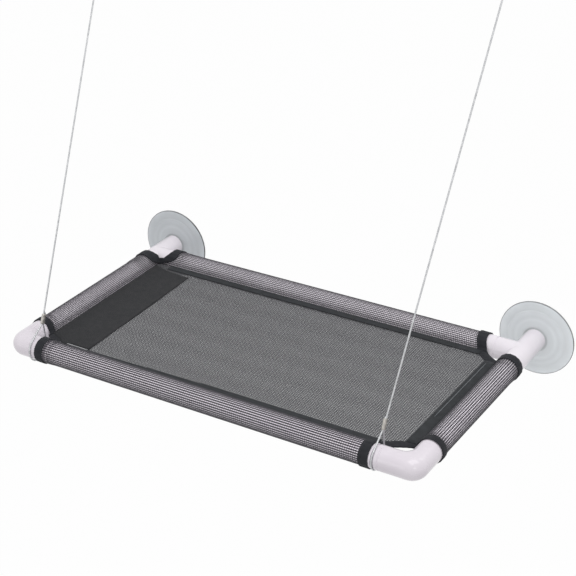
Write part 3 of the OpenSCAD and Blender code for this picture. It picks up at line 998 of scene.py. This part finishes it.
def make_cut(corner):
    """A folded tape along the cut, from the middle of one ring to the middle of the other."""
    a, b = cut_ends(corner)
    start = Vector((a, SEAM - CUT_PAST_SEAM))
    end = Vector((SEAM - CUT_PAST_SEAM, b))
    reach = (end - start).length
    # A short cut has a narrower binding
    width = min(CUT_W, 0.25 * reach + 0.004)
    pull = CUT_BOW * reach
    p0, p1, p2, p3 = start, start + Vector((0, pull)), end + Vector((pull, 0)), end
    outline = tape_outline(width, CUT_T)
    rows = []
    path = []
    normals = []
    for i in range(CUT_STEPS + 1):
        t = i / CUT_STEPS
        m = 1 - t
        p = m ** 3 * p0 + 3 * m * m * t * p1 + 3 * m * t * t * p2 + t ** 3 * p3
        ahead = m * m * (p1 - p0) + 2 * m * t * (p2 - p1) + t * t * (p3 - p2)
        ahead.normalize()
        side = Vector((ahead.y, -ahead.x))
        lift = 0.00012 * math.sin(i * 1.9)
        row = []
        for w, z in outline:
            q = p + (w - width / 2) * side
            row.append(bed_corner(corner, q.x, q.y) + Vector((0, 0, z - CUT_T / 2 + lift)))
        rows.append(row)
        q = p + (width / 2 - BINDING_SEAM_IN) * side
        path.append(bed_corner(corner, q.x, q.y) + Vector((0, 0, CUT_T / 2 + lift)))
        normals.append(Vector((0, 0, 1)))
    sew(path, normals)
    return shell("cut", rows, outline, False)


def make_binding(corner):
    parts = [make_ring(ring) for ring in corner_rings(corner)]
    if min(cut_ends(corner)) > SEAM + CUT_LEAST:
        parts.append(make_cut(corner))
    binding = join(BINDING_NODES[corner] + "_tape", parts)
    dress(binding, BINDING, "frame")
    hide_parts(BINDING_NODES[corner])
    return binding


bindings = [make_binding(corner) for corner in BINDING_NODES]


def between(values, u):
    """The value at a share u of the way along evenly spaced values."""
    place = min(max(u, 0.0), 1.0) * (len(values) - 1)
    i = min(int(place), len(values) - 2)
    return values[i] + (values[i + 1] - values[i]) * (place - i)


def flat_tape(name, side, first, last, near, far, lift, thick):
    """A tape on the bed: near is its near edge's distance from a tube's axis, and far holds the far edge's
    distances, evenly spaced along it."""
    width = far[-1] - near
    outline = tape_outline(width, thick)
    steps = max(8, round(abs(last - first) / TAPE_STEP))
    rows = []
    for i in range(steps + 1):
        u = i / steps
        s = first + (last - first) * u
        wide = between(far, u) - near
        wave = 0.00008 * math.sin(i * 1.7) + 0.00006 * math.sin(i * 0.61)
        rows.append([on_tube(side, s, near + w * wide / width, lift + t + wave) for w, t in outline])
    return shell(name, rows, outline, False)


def make_tape(side, start, end):
    """A sewn tape along the inner edge of a sleeve, with a row of stitches near each edge; start and end are
    distances from the sleeve's two corners."""
    node = side + "_tape"
    far = TAPE_FAR[side]
    first = from_corner(side, SLEEVES[side][0], start)
    last = from_corner(side, SLEEVES[side][1], end)
    tape = flat_tape(node + "_webbing", side, first, last, TAPE_FROM, far, TAPE_LIFT, TAPE_T)
    dress(tape, TAPE, "frame")
    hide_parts(node)
    near_row = []
    far_row = []
    for i in range(TAPE_SEAM_STEPS + 1):
        s = first + (last - first) * i / TAPE_SEAM_STEPS
        edge = between(far, i / TAPE_SEAM_STEPS)
        # Where the tape is narrow, its rows come closer to its edges
        most = 0.3 * (edge - TAPE_FROM)
        near_row.append(on_tube(side, s, TAPE_FROM + min(TAPE_SEAM_NEAR, most), TAPE_LIFT + TAPE_T))
        far_row.append(on_tube(side, s, edge - min(TAPE_SEAM_FAR, most), TAPE_LIFT + TAPE_T))
    for row in (near_row, far_row):
        sew(row, [Vector((0, 0, 1))] * len(row))
    return tape


tapes = [
    make_tape("front", ring_middle(("fl", "front"), AT_SEAM), ring_middle(("fr", "front"), AT_SEAM)),
    make_tape("rear", REAR_TAPE_START, ring_middle(("rr", "rear"), AT_SEAM)),
    make_tape("right", ring_middle(("fr", "right"), AT_SEAM), ring_middle(("rr", "right"), AT_SEAM)),
]
piping = flat_tape(
    "right_tape_piping", "right", from_corner("right", "fr", PIPING_ENDS[0]),
    from_corner("right", "rr", PIPING_ENDS[1]), PIPING_NEAR, (PIPING_FAR, PIPING_FAR),
    TAPE_LIFT + TAPE_T - CORD_SUNK, CORD_T,
)
dress(piping, PIPING, "frame")
# A light grey cord along the band's front edge: a painted highlight
edge_highlight = flat_tape(
    "left_band_edge_highlight", "front", EDGE_HIGHLIGHT_ENDS[0], EDGE_HIGHLIGHT_ENDS[1], EDGE_HIGHLIGHT_NEAR, (EDGE_HIGHLIGHT_FAR, EDGE_HIGHLIGHT_FAR),
    TAPE_LIFT - CORD_SUNK, CORD_T,
)
dress(edge_highlight, EDGE_HIGHLIGHT_CORD, "frame")


def make_band():
    """Dark cloth across the left end of the bed, cut slanting at the rear and curved at the front, where one
    place is tucked under the tape."""
    rows = 60
    columns = 20
    points = []
    faces = []
    for j in range(rows + 1):
        v = j / rows
        right = BAND_RIGHT_FRONT + (BAND_RIGHT_REAR - BAND_RIGHT_FRONT) * v
        for i in range(columns + 1):
            u = i / columns
            x = BAND_LEFT + u * (right - BAND_LEFT)
            tuck = BAND_FRONT_TUCK * math.exp(-((u - 0.41) / 0.09) ** 2)
            front_edge = FRONT + BAND_FRONT + BAND_FRONT_CURVE * max(0.0, 1 - 2.2 * u) ** 1.5 - tuck
            rear_edge = REAR - BAND_REAR - BAND_REAR_SLANT * (1 - (1 - u) ** 2.5)
            y = front_edge + (rear_edge - front_edge) * v
            ripple = 0.00012 * math.sin(11 * u + 7 * v) + 0.00008 * math.sin(23 * v - 5 * u)
            points.append(Vector((x, y, BAND_LIFT + bed_height(x, y) + ripple)))
    for j in range(rows):
        for i in range(columns):
            a = j * (columns + 1) + i
            faces.append((a, a + 1, a + columns + 2, a + columns + 1))
    band = new_mesh("left_end_band", points, faces)
    uv = band.data.uv_layers.new(name="UVMap")
    for loop in band.data.loops:
        uv.data[loop.index].uv = band.data.vertices[loop.vertex_index].co.xy
    thick = band.modifiers.new("thickness", "SOLIDIFY")
    thick.thickness = BAND_T
    thick.offset = 0.0
    select_only(band)
    bpy.ops.object.modifier_apply(modifier="thickness")
    band.select_set(False)
    dress(band, BAND, "frame")
    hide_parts("left_band")
    area = sum(polygon.area for polygon in band.data.polygons) / 2


make_band()

stitching = new_mesh("seam_stitching", stitch_points, stitch_faces)
dress(stitching, THREAD, "frame")


# Studio: white surroundings, a large soft lamp overhead and three smaller ones round the object

def background_share(tree, share):
    """A share where the camera, a reflection or a see-through piece shows the surroundings."""
    rays = add(tree, "ShaderNodeLightPath").outputs
    first = add(tree, "ShaderNodeMath", [
        (0, rays["Is Camera Ray"]), (1, rays["Is Glossy Ray"]),
    ], operation="MAXIMUM")
    seen = add(tree, "ShaderNodeMath", [
        (0, first.outputs[0]), (1, rays["Is Transmission Ray"]),
    ], operation="MAXIMUM")
    return add(tree, "ShaderNodeMath", [(0, seen.outputs[0]), (1, share)], operation="MULTIPLY").outputs[0]


def make_world():
    world = bpy.data.worlds.new("studio")
    scene.world = world
    world.use_nodes = True
    tree = world.node_tree
    tree.nodes.clear()
    dim = add(tree, "ShaderNodeBackground", [("Color", (1, 1, 1, 1)), ("Strength", WORLD_LIGHT)])
    white = add(tree, "ShaderNodeBackground", [("Color", (1, 1, 1, 1)), ("Strength", 1.0)])
    mix = add(tree, "ShaderNodeMixShader", [
        ("Fac", background_share(tree, 1.0)), (1, dim.outputs[0]), (2, white.outputs[0]),
    ])
    add(tree, "ShaderNodeOutputWorld", [("Surface", mix.outputs[0])])


def make_floor():
    material, tree = new_material("pale_floor")
    matt = add(tree, "ShaderNodeBsdfDiffuse", [("Color", (FLOOR_GREY, FLOOR_GREY, FLOOR_GREY, 1))])
    glow = add(tree, "ShaderNodeEmission", [("Color", (1, 1, 1, 1)), ("Strength", 1.0)])
    mix = add(tree, "ShaderNodeMixShader", [
        ("Fac", background_share(tree, FLOOR_WHITE_SHARE)), (1, matt.outputs[0]), (2, glow.outputs[0]),
    ])
    add(tree, "ShaderNodeOutputMaterial", [("Surface", mix.outputs[0])])
    bpy.ops.object.select_all(action="DESELECT")
    bpy.ops.mesh.primitive_plane_add(size=FLOOR_SIZE, location=FLOOR_PLACE)
    floor = bpy.context.object
    floor.name = "floor"
    floor.data.materials.append(material)


def make_lamps():
    for name, place, size, power in LAMPS:
        data = bpy.data.lights.new(name, "AREA")
        data.size = size
        data.energy = power
        lamp = bpy.data.objects.new(name, data)
        scene.collection.objects.link(lamp)
        lamp.location = place
        lamp.rotation_mode = "QUATERNION"
        lamp.rotation_quaternion = (LAMP_TARGET - Vector(place)).to_track_quat("-Z", "Y")


make_world()
make_floor()
make_lamps()
